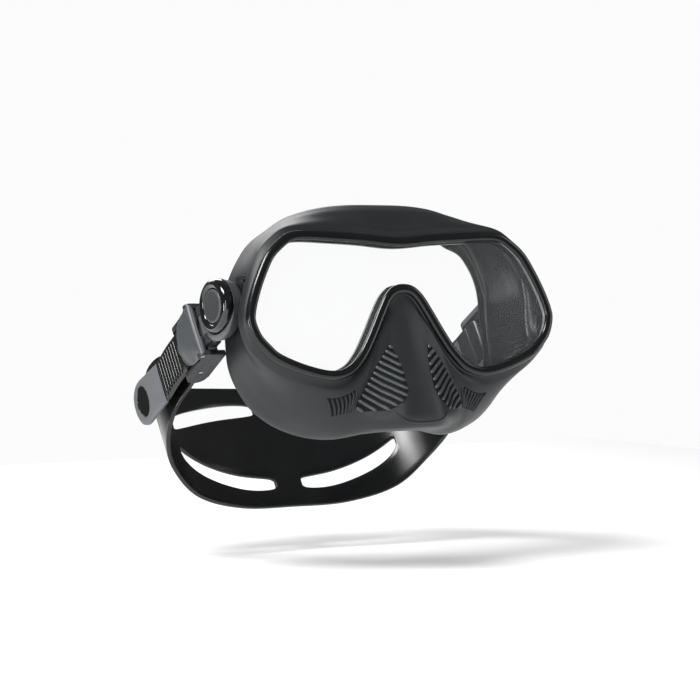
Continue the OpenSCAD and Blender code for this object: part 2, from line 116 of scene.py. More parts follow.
class MaskSizes(PropertyGroup):
    """What a user would change about the looks."""

    stations: IntProperty(name="Skirt stations", description="Sections round half of the skirt", default=132)
    rows: IntProperty(name="Skirt rows", description="Rows from the rim to the seal lip", default=46)
    rib_count: IntProperty(name="Nose ribs", description="Grip ribs on each side of the nose", default=12)
    rib_radius: FloatProperty(
        name="Rib radius", description="Radius of a grip rib on the nose", default=0.00075, unit="LENGTH")
    cheek_ribs: IntProperty(name="Cheek ribs", description="Short ribs beside the nose", default=8)
    wall_ribs: IntProperty(name="Wall ribs", description="Ribs inside each side wall", default=11)
    tail_teeth: IntProperty(name="Tail teeth", description="Teeth across the free tail", default=8)
    floor_drop: FloatProperty(
        name="Floor drop", description="Room for the strap to swing down", default=0.02, unit="LENGTH")
    room_light: FloatProperty(name="Room light", description="Strength of the light all round", default=0.13)
    silicone: StringProperty(name="Silicone", description="Skirt colour, sRGB hex", default="#1b1d1f")
    gloss: StringProperty(name="Gloss silicone", description="Strap colour, sRGB hex", default="#0d0e0f")
    plastic: StringProperty(name="Grey plastic", description="Buckle colour, sRGB hex", default="#3c3e41")
    floor: StringProperty(name="Floor", description="Floor colour, sRGB hex", default="#f4f4f4")


def sizes():
    return bpy.context.scene.mask_sizes


# ---- curves ----


def smooth(start, end, x):
    t = min(1.0, max(0.0, (x - start) / (end - start)))
    return t * t * (3 - 2 * t)


def lerp(a, b, t):
    return a + (b - a) * t


def through(p0, p1, p2, p3, t):
    """A point between p1 and p2 on a curve through four points."""
    return 0.5 * (2 * p1 + (p2 - p0) * t + (2 * p0 - 5 * p1 + 4 * p2 - p3) * t * t
                  + (3 * p1 - p0 - 3 * p2 + p3) * t ** 3)


def along(points, s, before=None, after=None):
    """A point on a curve through a list, at 0 to len - 1, with the neighbours past its ends."""
    last = len(points) - 1
    i = max(0, min(last - 1, math.floor(s)))
    p0 = points[i - 1] if i > 0 else (before if before is not None else 2 * points[0] - points[1])
    p3 = points[i + 2] if i < last - 1 else (after if after is not None else 2 * points[-1] - points[-2])
    return through(p0, points[i], points[i + 1], p3, s - i)


# ---- the skirt's net, right half, from the brow round to the nose ----
# Each row: rim x and v in the lens plane, then four points down the inside, from the lens centre.

NET = [
    [(0, 30.5), (0, 8.2, 32.6), (0, 11.5, 36.3), (0, 16.5, 40.4), (0, 22.5, 42.2)],
    [(17.5, 31.9), (17.3, 8.3, 33.9), (17, 12, 37), (16.5, 17, 40.3), (16, 23, 41.9)],
    [(32.2, 32.7), (31.8, 8.5, 34.2), (31, 12.8, 36.5), (30, 18, 39), (29, 24, 40.2)],
    [(45.6, 33.2), (45, 8.5, 33.6), (43.8, 13.8, 34.8), (42, 20.5, 36), (40.3, 27.5, 36.4)],
    [(52.5, 32.4), (51.8, 8.5, 32.2), (50.5, 15, 32), (49, 23, 31.8), (47.7, 30.5, 31)],
    [(57.7, 29.6), (57, 8, 29.2), (56.2, 15, 28.6), (55.5, 24, 27.6), (54.6, 31.5, 26)],
    [(64.1, 24), (63, 7, 23.8), (61, 13, 23.4), (59.8, 23, 22.4), (58.8, 32, 20.6)],
    [(69, 16), (67.8, 5.6, 16), (65.2, 10.2, 15.8), (64.2, 22, 14.8), (63, 32, 13)],
    [(73, 7.5), (71.2, 4.2, 7.4), (67.2, 8, 7), (67, 20, 6), (65.4, 32, 5.4)],
    [(75.5, 0), (73.4, 3.2, -0.8), (67.9, 7.6, -1.6), (67.7, 19, -2.4), (66, 31.5, -3.4)],
    [(75.8, -5), (73.6, 2.6, -6.8), (68.2, 7.4, -8.6), (67.7, 18, -10.4), (66, 30, -12.6)],
    [(73.5, -11.4), (71.5, 1.4, -14), (67.8, 7, -16.6), (67, 17, -19.6), (66, 28, -22.6)],
    [(69.6, -16.2), (66.8, 0.8, -19.4), (63.8, 7.5, -23), (63.4, 17, -27.4), (63.6, 26, -31)],
    [(63.2, -21.4), (59.8, 0.4, -25), (57, 7.5, -30.2), (57.4, 15.6, -35.4), (58.6, 23.5, -39.6)],
    [(50, -26.6), (48.4, -1.5, -31), (47.6, 4, -37.4), (49, 12, -43), (51, 20, -46.2)],
    [(37.4, -29), (37.4, -3, -34.5), (38, 1.6, -41.4), (39.4, 9.6, -47.4), (41.4, 18.4, -50.2)],
    [(28, -26.6), (29.4, -4.3, -33), (31.6, -1.4, -40.6), (32.8, 5.6, -48.4), (33, 16.4, -52)],
    [(21.2, -20.4), (22.8, -4, -28), (27, -2.9, -39.6), (27.8, 3.2, -48.8), (26.4, 13.8, -52)],
    [(15.6, -12.2), (17.4, -3.2, -21), (22.8, -4.6, -40), (23.6, 0.6, -48.4), (20.6, 12.6, -51)],
    [(10, -2.6), (12.2, -3, -15), (17.6, -7.8, -40.8), (18.8, -2.4, -47.9), (15.4, 12.1, -49.8)],
    [(6.5, 3), (8.8, -3.8, -15.4), (12.6, -12.2, -41.2), (13.4, -6, -47.6), (10.2, 12, -49)],
    [(3.4, 5.9), (5.2, -5.2, -16.4), (7.2, -15.6, -41.5), (7.8, -9, -47.3), (5.4, 12, -48.6)],
    [(0, 6.6), (0, -5.8, -16.4), (0, -16.3, -41.5), (0, -9.8, -47.2), (0, 12, -48.5)],
]
LAST = len(NET) - 1


def padded(p):
    return Vector(p if len(p) == 3 else (p[0], p[1], 0))


def flip(p):
    return Vector((-p[0], p[1], p[2]))


COLUMNS = [[padded(row[col]) for row in NET] for col in range(5)]


def net_at(col, s):
    line = COLUMNS[col]
    return along(line, s, flip(line[1]), flip(line[-2]))


def from_lens(p, q):
    """From lens-plane x, v and height q in front of it to the mask's own frame."""
    sin, cos = math.sin(LENS_LEAN), math.cos(LENS_LEAN)
    return Vector((p[0], p[1] * sin - q * cos - LENS_FRONT, p[1] * cos + q * sin))


def rim_in(s, d):
    """The rim outline at s, moved inward by d."""
    step = 0.02
    ahead, behind = net_at(0, min(LAST, s + step)), net_at(0, max(0, s - step))
    if s < step:
        behind = flip(net_at(0, step - s))
    if s > LAST - step:
        ahead = flip(net_at(0, 2 * LAST - s - step))
    way = ahead - behind
    return net_at(0, s) + Vector((way.y, -way.x, 0)).normalized() * d


def rim_point(s, d, q):
    return from_lens(rim_in(s, d), q)


def lip_of(p):
    """The free edge of the seal lip, turned in towards the face."""
    width = 8 * (1 - 0.55 * smooth(38, 62, p.x))
    towards = Vector((p.x * 0.55 - p.x, 0, -6 + (p.z + 6) * 0.35 - p.z)).normalized()
    return p + towards * width + Vector((0, 0.35 * width, 0))


def skirt_line(s):
    """Six points down the inside of the skirt at s, from under the rim bead to the lip."""
    back = Vector((0, -LENS_FRONT, 0))
    line = [rim_point(s, 0.3, -0.8)]
    line += [net_at(col, s) + back for col in range(1, 5)]
    line.append(lip_of(net_at(4, s)) + back)
    return line


def wall_at(r):
    """The thickness of the silicone at depth r: full behind the rim, thin at the lip."""
    return lerp(1.3, 2.2, smooth(0, 0.6, r)) + (1.1 - 2.2) * smooth(0.5, 1, r / 5)


def near_skirt(h, r, out):
    """A point at station h (negative on the left) and depth r, a distance out from the inside."""
    s, step = min(LAST - 0.001, abs(h)), 0.03
    here = along(skirt_line(s), r)
    ds = along(skirt_line(min(LAST, s + step)), r) - along(skirt_line(max(0, s - step)), r)
    dr = along(skirt_line(s), min(5, r + step)) - along(skirt_line(s), max(0, r - step))
    here = here + ds.cross(dr).normalized() * out
    return flip(here) if h < 0 else here


def on_skirt(h, r, lift=0.0):
    """A point on the outside of the skirt, lifted by a distance."""
    return near_skirt(h, r, wall_at(r) + lift)


# ---- meshes ----


def new_piece(name, points, faces, materials, face_materials=None, sharp=None):
    """A mesh object from points in millimetres, at the origin, smooth apart from its sharp edges."""
    mesh = bpy.data.meshes.new(name)
    mesh.from_pydata([tuple(Vector(p) * MM) for p in points], [], faces)
    for material in materials:
        mesh.materials.append(material)
    if face_materials:
        mesh.polygons.foreach_set("material_index", face_materials)
    mesh.validate()
    mesh.update()
    piece = bpy.data.objects.new(name, mesh)
    bpy.context.collection.objects.link(piece)
    if faces:
        tidy_normals(piece, sharp or math.radians(50))
    return piece


def tidy_normals(piece, sharp):
    """Merges doubles, turns the faces outwards and marks the sharp edges."""
    work = bmesh.new()
    work.from_mesh(piece.data)
    bmesh.ops.remove_doubles(work, verts=work.verts, dist=1e-7)
    bmesh.ops.recalc_face_normals(work, faces=work.faces)
    for face in work.faces:
        face.smooth = True
    for edge in work.edges:
        edge.smooth = not (len(edge.link_faces) == 2 and edge.calc_face_angle(0) > sharp)
    work.to_mesh(piece.data)
    work.free()


def apply_modifiers(piece):
    """Turns the piece with its modifiers into a plain mesh."""
    graph = bpy.context.evaluated_depsgraph_get()
    mesh = bpy.data.meshes.new_from_object(piece.evaluated_get(graph), depsgraph=graph)
    piece.modifiers.clear()
    piece.data = mesh
    return piece


def bevel(piece, width_mm, segments=3, angle=40):
    """Rounds the sharp edges of a piece and makes the result plain."""
    cut = piece.modifiers.new("Rounded edges", "BEVEL")
    cut.width = width_mm * MM
    cut.segments = segments
    cut.limit_method = "ANGLE"
    cut.angle_limit = math.radians(angle)
    apply_modifiers(piece)
    tidy_normals(piece, math.radians(45))
    return piece


def loft(name, sections, materials, bands=None, closed=True, caps=False, sharp=None):
    """Joins equal sections, each a closed loop of points. bands gives a material for each strip."""
    count, size = len(sections), len(sections[0])
    points = [p for section in sections for p in section]
    faces, marks = [], []
    for k in range(count if closed else count - 1):
        for j in range(size):
            a, b = k * size, (k + 1) % count * size
            faces.append((a + j, a + (j + 1) % size, b + (j + 1) % size, b + j))
            marks.append(bands[j] if bands else 0)
    if caps:
        faces.append(tuple(range(size - 1, -1, -1)))
        faces.append(tuple((count - 1) * size + j for j in range(size)))
        marks += [0, 0]
    return new_piece(name, points, faces, materials, marks, sharp)


def slab(name, outer, inner, materials, cell_material=None, is_open=None):
    """A sheet with two faces, given as grids of points, closed round its edge and its openings."""
    rows, cols = len(outer), len(outer[0])
    points = [p for grid in (outer, inner) for row in grid for p in row]
    half = rows * cols

    def full(i, j):
        return 0 <= i < rows - 1 and 0 <= j < cols - 1 and not (is_open and is_open(i, j))

    faces, marks = [], []
    for i in range(rows - 1):
        for j in range(cols - 1):
            if not full(i, j):
                continue
            a, b, c, d = i * cols + j, (i + 1) * cols + j, (i + 1) * cols + j + 1, i * cols + j + 1
            mark = cell_material(i, j) if cell_material else 0
            faces += [(a, b, c, d), (a + half, d + half, c + half, b + half)]
            marks += [mark, mark]
            for near, p, q in ((full(i, j - 1), a, b), (full(i, j + 1), c, d),
                               (full(i - 1, j), d, a), (full(i + 1, j), b, c)):
                if not near:
                    faces.append((q, p, p + half, q + half))
                    marks.append(mark)
    return new_piece(name, points, faces, materials, marks)


def place(side, n, u, w):
    """From the buckle's own n (outwards), u (along the strap), w (across it) to the mask's frame."""
    p = SWIVEL + Vector((n, 0, 0)) + ALONG * u + ACROSS * w
    return Vector((side * p.x, p.y, p.z))


def ring_piece(name, profile, put, materials, bands=None, steps=96, sharp=None):
    """A lathe: the closed profile of (radius, height) points, turned through put(radius, height, angle)."""
    sections = [[put(r, h, 2 * math.pi * k / steps) for r, h in profile] for k in range(steps)]
    return loft(name, sections, materials, bands, sharp=sharp)


def settle(piece, body, node=None):
    """Fixes a finished piece to its body, and lets it stand for a CAD node."""
    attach(piece, body)
    if node:
        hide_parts(node)


# ---- materials ----


def linear(hex_colour):
    """sRGB hex to linear RGBA."""
    parts = [int(hex_colour[i:i + 2], 16) / 255 for i in (1, 3, 5)]
    return [c / 12.92 if c <= 0.04045 else ((c + 0.055) / 1.055) ** 2.4 for c in parts] + [1.0]


def add_node(tree, kind, settings=None, inputs=None, links=None):
    """Adds a node, sets its settings and input values, and links outputs into its inputs."""
    node = tree.nodes.new(kind)
    for key, value in (settings or {}).items():
        setattr(node, key, value)
    for key, value in (inputs or {}).items():
        node.inputs[key].default_value = value
    for key, output in (links or {}).items():
        tree.links.new(output, node.inputs[key])
    return node


def per_metre(size_mm):
    """The scale of a pattern whose features are size_mm across."""
    return 1.0 / (size_mm * MM)


def mix_tones(tree, factor, first, second):
    """A mix of two sRGB hex tones by factor. Sockets 6, 7 and 2 are its colours and its result."""
    tone = add_node(tree, "ShaderNodeMix", {"data_type": "RGBA"},
                    {6: linear(first), 7: linear(second)}, {"Factor": factor})
    return tone.outputs[2]


def moulded(name, dark, light, roughness, grain_mm, grain_depth_mm, spread=0.08, coat=0.0, metallic=0.0,
            edge=0.0, specular=0.5, glow=0.0):
    """A moulded finish: two close tones in soft clouds, uneven gloss, fine grain and sharp edges mixed
    towards a pale grey.
    """
    material = bpy.data.materials.new(name)
    material.use_nodes = True
    tree = material.node_tree
    tree.nodes.clear()
    place_on = add_node(tree, "ShaderNodeTexCoord")
    clouds = add_node(tree, "ShaderNodeTexNoise", inputs={"Scale": per_metre(14), "Detail": 3.0},
                      links={"Vector": place_on.outputs["Object"]})
    grain = add_node(tree, "ShaderNodeTexNoise", inputs={"Scale": per_metre(grain_mm), "Detail": 2.0},
                     links={"Vector": place_on.outputs["Object"]})
    colour = mix_tones(tree, clouds.outputs["Fac"], dark, light)
    if edge:
        # Sharp convex edges, found by pointiness, are mixed towards a pale grey by up to edge.
        rounded = add_node(tree, "ShaderNodeNewGeometry")
        edge_lighten_range = add_node(tree, "ShaderNodeMapRange",
                        inputs={"From Min": 0.52, "From Max": 0.62, "To Max": edge},
                        links={"Value": rounded.outputs["Pointiness"]})
        edge_lighten_mix = add_node(tree, "ShaderNodeMix", {"data_type": "RGBA"}, {7: linear("#9a9c9e")},
                        {"Factor": edge_lighten_range.outputs[0], 6: colour})
        colour = edge_lighten_mix.outputs[2]
    shine = add_node(tree, "ShaderNodeMapRange",
                     inputs={"To Min": roughness - spread, "To Max": roughness + spread},
                     links={"Value": clouds.outputs["Fac"]})
    bump = add_node(tree, "ShaderNodeBump", inputs={"Strength": 0.35, "Distance": grain_depth_mm * MM},
                    links={"Height": grain.outputs["Fac"]})
    surface = add_node(tree, "ShaderNodeBsdfPrincipled",
                       inputs={"Metallic": metallic, "Coat Weight": coat, "Coat Roughness": 0.08,
                               "Specular IOR Level": specular, "Emission Strength": glow},
                       links={"Base Color": colour, "Roughness": shine.outputs[0],
                              "Normal": bump.outputs["Normal"]})
    add_node(tree, "ShaderNodeOutputMaterial", links={"Surface": surface.outputs[0]})
    return material


MATERIALS = {}


def make_materials():
    look = sizes()
    # Liquid silicone rubber from an etched mould: satin, so it shows broad soft highlights.
    MATERIALS["silicone"] = moulded("satin_silicone_skirt", look.silicone, "#222426", 0.44, 0.35, 0.02, 0.05,
                                    specular=0.4)
    # The same rubber from a polished mould, as on the rim bead: near black with sharp highlights.
    MATERIALS["rim"] = moulded("polished_silicone_rim", "#0b0c0d", "#101112", 0.2, 0.6, 0.005, 0.04)
    # Polished inner walls, a little lighter where light comes through the lens.
    MATERIALS["inner"] = moulded("polished_silicone_inner", "#0c0d0e", "#121315", 0.26, 0.6, 0.005, 0.05)
    # Groove floors between the grip ribs, the grip patches and the thumb scoop: matte, and dark as painted
    # shade in these hollows.
    MATERIALS["groove"] = moulded("silicone_groove_painted_shade", "#060707", "#090a0a", 0.7, 0.3, 0.01, 0.05,
                                  specular=0.2)
    # Ribs of the grip and the strap's teeth: the skirt's rubber, polished and glossy, with a lighter tone
    # that is a painted highlight on their tops.
    MATERIALS["rib"] = moulded("silicone_grip_rib_painted_highlight", "#3a3e3f", "#45494a", 0.3, 0.4, 0.005, 0.05)
    # Strap rubber: polished black silicone with wide mirror-like bands.
    MATERIALS["strap"] = moulded("polished_silicone_strap", look.gloss, "#121314", 0.22, 0.7, 0.008, 0.05)
    # Pull tab: the strap's rubber from a blasted mould, so it is lighter and soft.
    MATERIALS["tab"] = moulded("satin_silicone_tab", "#5a5c5f", "#66686b", 0.38, 0.3, 0.02, 0.05)
    # Glass-filled nylon from a spark-eroded mould: even grey with a fine grain.
    MATERIALS["plastic"] = moulded("glass_filled_nylon_grey", look.plastic, "#45484b", 0.40, 0.25, 0.02,
                                   0.05, edge=0.35)
    # The same nylon, painted darker as the shade that falls on the lugs, the frame and the roller.
    MATERIALS["dark"] = moulded("glass_filled_nylon_painted_shade", "#17191b", "#1e2022", 0.38, 0.25, 0.02, 0.05,
                                edge=0.3)
    # Polished acetal ring: glossy near-black with crisp white reflections.
    MATERIALS["bezel"] = moulded("polished_acetal_ring", "#08090a", "#0c0d0f", 0.1, 2.0, 0.0005, 0.02,
                                 coat=0.6)
    # Button: matte soft-touch plastic.
    MATERIALS["button"] = moulded("soft_touch_button", "#2b2c2e", "#313234", 0.55, 0.3, 0.02, 0.04)
    # Stainless steel 316, tumbled: pale metal with a slight unevenness.
    MATERIALS["steel"] = moulded("tumbled_stainless_steel", "#a9acaf", "#c0c3c6", 0.3, 0.5, 0.005, 0.08,
                                 metallic=1.0)
    MATERIALS["glass"] = clear_glass()
    # Matte white acrylic with a faint glow of its own, so that it stays pale.
    MATERIALS["floor"] = moulded("pale_studio_floor", look.floor, "#f8f8f8", 0.75, 3.0, 0.01, 0.03,
                                 glow=0.25)


def clear_glass():
    """Tempered soda-lime glass: clear face on, brighter at a glancing angle, a faint cool smear."""
    material = bpy.data.materials.new("tempered_lens_glass")
    material.use_nodes = True
    tree = material.node_tree
    tree.nodes.clear()
    place_on = add_node(tree, "ShaderNodeTexCoord")
    smear = add_node(tree, "ShaderNodeTexNoise", inputs={"Scale": per_metre(40), "Detail": 2.0},
                     links={"Vector": place_on.outputs["Object"]})
    tone = mix_tones(tree, smear.outputs["Fac"], "#dfe8ea", "#f2f7f8")
    facing = add_node(tree, "ShaderNodeLayerWeight", inputs={"Blend": 0.25})
    cover = add_node(tree, "ShaderNodeMapRange", inputs={"To Min": 0.02, "To Max": 0.3},
                     links={"Value": facing.outputs["Fresnel"]})
    surface = add_node(tree, "ShaderNodeBsdfPrincipled", inputs={"Roughness": 0.03, "IOR": 1.52},
                       links={"Base Color": tone, "Alpha": cover.outputs[0]})
    add_node(tree, "ShaderNodeOutputMaterial", links={"Surface": surface.outputs[0]})
    return material


# ---- ribs along lines, made by Geometry Nodes ----


def rib_tree():
    """A tree that turns each line of a mesh into a round rib with tapering ends."""
    tree = bpy.data.node_groups.new("Ribs along lines", "GeometryNodeTree")
    face = tree.interface
    face.new_socket("Lines", in_out="INPUT", socket_type="NodeSocketGeometry")
    for label, kind, value in (("Radius", "NodeSocketFloat", 0.0007), ("Spacing", "NodeSocketFloat", 0.0006),
                               ("End taper", "NodeSocketFloat", 0.08), ("Sides", "NodeSocketInt", 10)):
        face.new_socket(label, in_out="INPUT", socket_type=kind).default_value = value
    face.new_socket("Material", in_out="INPUT", socket_type="NodeSocketMaterial")
    face.new_socket("Ribs", in_out="OUTPUT", socket_type="NodeSocketGeometry")
    given = add_node(tree, "NodeGroupInput")
    curve = add_node(tree, "GeometryNodeMeshToCurve", links={"Mesh": given.outputs["Lines"]})
    even = add_node(tree, "GeometryNodeResampleCurve", {"mode": "LENGTH"},
                    links={"Curve": curve.outputs[0], "Length": given.outputs["Spacing"]})
    where = add_node(tree, "GeometryNodeSplineParameter")
    back = add_node(tree, "ShaderNodeMath", {"operation": "SUBTRACT"}, {0: 1.0},
                    {1: where.outputs["Factor"]})
    near = add_node(tree, "ShaderNodeMath", {"operation": "MINIMUM"},
                    links={0: where.outputs["Factor"], 1: back.outputs[0]})
    share = add_node(tree, "ShaderNodeMath", {"operation": "DIVIDE", "use_clamp": True},
                     links={0: near.outputs[0], 1: given.outputs["End taper"]})
    rise = add_node(tree, "ShaderNodeMath", {"operation": "POWER"}, {1: 0.5}, {0: share.outputs[0]})
    size = add_node(tree, "ShaderNodeMath", {"operation": "MULTIPLY_ADD"}, {1: 0.85, 2: 0.15},
                    {0: rise.outputs[0]})
    round_bar = add_node(tree, "GeometryNodeCurvePrimitiveCircle", {"mode": "RADIUS"},
                         links={"Radius": given.outputs["Radius"], "Resolution": given.outputs["Sides"]})
    solid = add_node(tree, "GeometryNodeCurveToMesh", inputs={"Fill Caps": True},
                     links={"Curve": even.outputs[0], "Profile Curve": round_bar.outputs[0],
                            "Scale": size.outputs[0]})
    soft = add_node(tree, "GeometryNodeSetShadeSmooth", links={"Geometry": solid.outputs[0]})
    real = add_node(tree, "GeometryNodeRealizeInstances", links={"Geometry": soft.outputs[0]})
    finish = add_node(tree, "GeometryNodeSetMaterial",
                      links={"Geometry": real.outputs[0], "Material": given.outputs["Material"]})
    add_node(tree, "NodeGroupOutput", links={0: finish.outputs[0]})
    return tree


def ribs(name, lines, radius_mm, material, taper=0.08, sides=10):
    """A piece of ribs, one along each list of points."""
    points, edges = [], []
    for line in lines:
        start = len(points)
        points += line
        edges += [(start + i, start + i + 1) for i in range(len(line) - 1)]
    mesh = bpy.data.meshes.new(name)
    mesh.from_pydata([tuple(Vector(p) * MM) for p in points], edges, [])
    piece = bpy.data.objects.new(name, mesh)
    bpy.context.collection.objects.link(piece)
    tree = bpy.data.node_groups.get("Ribs along lines") or rib_tree()
    maker = piece.modifiers.new("Ribs", "NODES")
    maker.node_group = tree
    values = {"Radius": radius_mm * MM, "End taper": taper, "Sides": sides, "Material": material}
    for item in tree.interface.items_tree:
        if item.item_type == "SOCKET" and item.in_out == "INPUT" and item.name in values:
            maker[item.identifier] = values[item.name]
    apply_modifiers(piece)
    if not piece.data.polygons:
        raise RuntimeError(name + " has no faces")
    return piece


# ---- the skirt and what is moulded on it ----

# The share of the skirt's depth that the rim bead covers.
UNDER_BEAD = 0.077


def skirt():
    """The skirt as a closed loft: the bead in front, down the outside, back up the inside, the seat."""
    half, rows = sizes().stations, sizes().rows
    count = 2 * half
    spots = [(k if k <= half else count - k) * LAST / half for k in range(count)]
    flips = [k > half for k in range(count)]
    inside = [[along(skirt_line(s), 5 * r / rows) for r in range(rows + 1)] for s in spots]
    inside = [[flip(p) for p in line] if f else line for line, f in zip(inside, flips)]
    first = round(rows * UNDER_BEAD)
    crown = [(RIM_WIDTH, SLOT_Q), (RIM_WIDTH, SLOT_Q + 0.6), (RIM_WIDTH - 0.12, SLOT_Q + 0.95),
             (RIM_WIDTH - 0.5, BEAD_Q - 0.25), (RIM_WIDTH - 1.1, BEAD_Q - 0.06), (RIM_WIDTH / 2, BEAD_Q),
             (1.2, BEAD_Q - 0.12), (0.6, BEAD_Q - 0.45), (0.2, BEAD_Q - 0.95), (0.02, SLOT_Q),
             (0.06, SLOT_Q - 0.4), (0.4, SLOT_Q - 0.75), (0.4, SLOT_Q - 1.1), (0.0, SLOT_Q - 1.4),
             (-0.25, SLOT_Q - 1.6)]
    seat = [(RIM_WIDTH - 0.6, -SLOT_Q - 1.7), (RIM_WIDTH + 0.2, -SLOT_Q - 1.3),
            (RIM_WIDTH + 0.2, -SLOT_Q), (1, -SLOT_Q), (1, SLOT_Q)]
    sections = []
    for k, s in enumerate(spots):
        ahead, behind = inside[(k + 1) % count], inside[k - 1]
        outside = []
        for r in range(first, rows + 1):
            down = inside[k][min(rows, r + 1)] - inside[k][r - 1]
            normal = (ahead[r] - behind[r]).cross(down).normalized()
            outside.append(inside[k][r] + normal * wall_at(5 * r / rows))
        turn = flip if flips[k] else Vector
        section = [turn(rim_point(s, d, q)) for d, q in crown]
        section += outside + inside[k][:first - 1:-1]
        section += [turn(rim_point(s, d, q)) for d, q in seat]
        sections.append(section)
    bead, body = len(crown), rows + 1 - first
    bands = [1] * (bead - 3) + [0] * (3 + body - 1) + [2] * (len(sections[0]) - bead - body + 1)
    piece = loft("silicone_skirt", sections,
                 [MATERIALS["silicone"], MATERIALS["rim"], MATERIALS["inner"]], bands,
                 sharp=math.radians(60))
    settle(piece, "mask", "skirt")


def patch(name, corner, lift, material, rows=24, cols=24, rise=0.0):
    """A thin raised patch on the skirt. corner(a, b) gives h, r for a and b from 0 to 1."""
    outer, inner = [], []
    for i in range(rows + 1):
        top, low = [], []
        for j in range(cols + 1):
            a, b = i / rows, j / cols
            h, r = corner(a, b)
            edge = min(a, 1 - a, b, 1 - b)
            top.append(on_skirt(h, r, lift * min(1, edge * 8) + rise * smooth(0, 0.5, edge) + 0.01))
            low.append(on_skirt(h, r, -0.4))
        outer.append(top)
        inner.append(low)
    piece = slab(name, outer, inner, [material])
    settle(piece, "mask")


# The nose grip is a leaf, pointed at its head and rounded at its foot. Heights, then half widths.
GRIP_HEAD, GRIP_WAIST, GRIP_FOOT = -14.0, -30.0, -41.4
GRIP_POINT, GRIP_NARROW, GRIP_WIDE = 9.0, 5.9, 25.6
GRIP_SLOPE = 0.645
GRIP_TOP, GRIP_LOW = -21.6, -55.6


def grip_edges(z):
    """How far the leaf's inner and outer edges stand from the middle at height z."""
    above = max(0.0, (z - GRIP_WAIST) / (GRIP_HEAD - GRIP_WAIST))
    below = max(0.0, (GRIP_WAIST - z) / (GRIP_WAIST - GRIP_FOOT))
    ridge = GRIP_NARROW + (GRIP_POINT - GRIP_NARROW) * above ** 2.6 + 8.1 * below ** 3.3
    spread = min(1.0, (GRIP_HEAD - z) / 23.5)
    return ridge, lerp(GRIP_POINT, GRIP_WIDE, spread ** 0.9) - 1.6 * smooth(0.8, 1, below)


def grip_line(level):
    """Where a sloping cut through the nose meets the skirt inside the leaf, as (station, depth)."""
    spots = []
    for i in range(60):
        h = lerp(16.4, 21.7, i / 59)
        line = skirt_line(h)
        low, high = 0.4, 2.8
        for _ in range(14):
            r = (low + high) / 2
            p = along(line, r)
            if p.z - GRIP_SLOPE * p.x > level:
                low = r
            else:
                high = r
        if GRIP_FOOT <= p.z <= GRIP_HEAD:
            ridge, outer = grip_edges(p.z)
            if ridge <= p.x <= outer:
                spots.append(Vector((h, r)))
    return spots


# The cheek grip: the first station, the last station and the depth, at its top and at its foot.
CHEEK_TOP = (14.85, 16.3, 1.02)
CHEEK_LOW = (15.5, 17.1, 2.1)


def nose_grips():
    """The ribbed leaf on each side of the nose, with its matte floor painted dark as shade between the ribs.
    """
    look = sizes()
    rows, cols = 36, 24
    levels = [lerp(GRIP_TOP + 0.9, GRIP_LOW - 0.9, i / rows) for i in range(rows + 1)]
    cuts = [cut for cut in (grip_line(level) for level in levels) if len(cut) > 2]
    bars = [grip_line(lerp(GRIP_TOP, GRIP_LOW, i / (look.rib_count - 1))) for i in range(look.rib_count)]
    bars = [bar for bar in bars if len(bar) > 2]
    for side, sign in SIDES.items():
        outer = [[along(cut, (len(cut) - 1) * c / cols) for c in range(cols + 1)] for cut in cuts]
        top = [[on_skirt(sign * p.x, p.y, 0.06) for p in row] for row in outer]
        low = [[on_skirt(sign * p.x, p.y, -0.4) for p in row] for row in outer]
        floor = slab("nose_grip_floor_" + side, top, low, [MATERIALS["groove"]])
        settle(floor, "mask")
        lines = [[on_skirt(sign * p.x, p.y, 0.2) for p in bar] for bar in bars]
        # The ribs' lighter tone is a painted highlight on their tops.
        piece = ribs("nose_grip_ribs_" + side, lines, look.rib_radius / MM, MATERIALS["rib"], 0.06)
        settle(piece, "mask")


def cheek_grips():
    """The short upright ribs beside the nose."""
    look = sizes()
    for side, sign in SIDES.items():
        def on_cheek(a, b):
            h0 = lerp(CHEEK_TOP[0], CHEEK_LOW[0], b)
            h1 = lerp(CHEEK_TOP[1], CHEEK_LOW[1], b)
            return sign * lerp(h0 - 0.05, h1 + 0.05, a), lerp(CHEEK_TOP[2], CHEEK_LOW[2], b)

        # The floor between the cheek ribs is painted dark as the shade between them.
        patch("cheek_grip_floor_" + side, on_cheek, 0.05, MATERIALS["groove"])
        lines = []
        for i in range(look.cheek_ribs):
            a = i / (look.cheek_ribs - 1)
            lines.append([on_skirt(*on_cheek(a, t / 10), 0.0) for t in range(11)])
        piece = ribs("cheek_grip_ribs_" + side, lines, 0.55, MATERIALS["silicone"], 0.15)
        settle(piece, "mask")


def nose_ledge():
    """The soft raised line under the front of the nose, turned up at its corners."""
    line = [(-20.2, 2.0), (-20.6, 2.16), (-21.0, 2.26), (-21.5, 2.3), (-22, 2.31), (21.5, 2.3), (21, 2.26),
            (20.6, 2.16), (20.2, 2.0)]
    spots = [on_skirt(h, r, -0.1) for h, r in line]
    fine = [along(spots, (len(spots) - 1) * t / 60) for t in range(61)]
    piece = ribs("nose_ledge", [fine], 0.55, MATERIALS["silicone"], 0.12, 14)
    settle(piece, "mask")


def brow_panel():
    """The smooth raised panel at the middle of the brow."""
    def on_brow(a, b):
        h = lerp(-1.25, 1.25, a)
        height = 0.3 * math.sqrt(max(0, 1 - (2 * a - 1) ** 2)) + 0.01
        return h, 1.35 + (2 * b - 1) * height

    patch("brow_panel", on_brow, 0.25, MATERIALS["silicone"], 40, 16, 0.15)


def wall_ribs():
    """Fine ribs on the inside of each side wall, seen through the lens."""
    look = sizes()
    for side, sign in SIDES.items():
        lines = []
        for i in range(look.wall_ribs):
            h = sign * lerp(10.6, 13.4, i / (look.wall_ribs - 1))
            lines.append([near_skirt(h, lerp(1.7, 3.4, t / 14), 0.1) for t in range(15)])
        piece = ribs("side_wall_ribs_" + side, lines, 0.5, MATERIALS["inner"], 0.1)
        settle(piece, "mask")


# ---- buckles ----


def turned(side):
    """Puts a lathe point on the swivel axis."""
    return lambda r, n, angle: place(side, n, r * math.cos(angle), r * math.sin(angle))


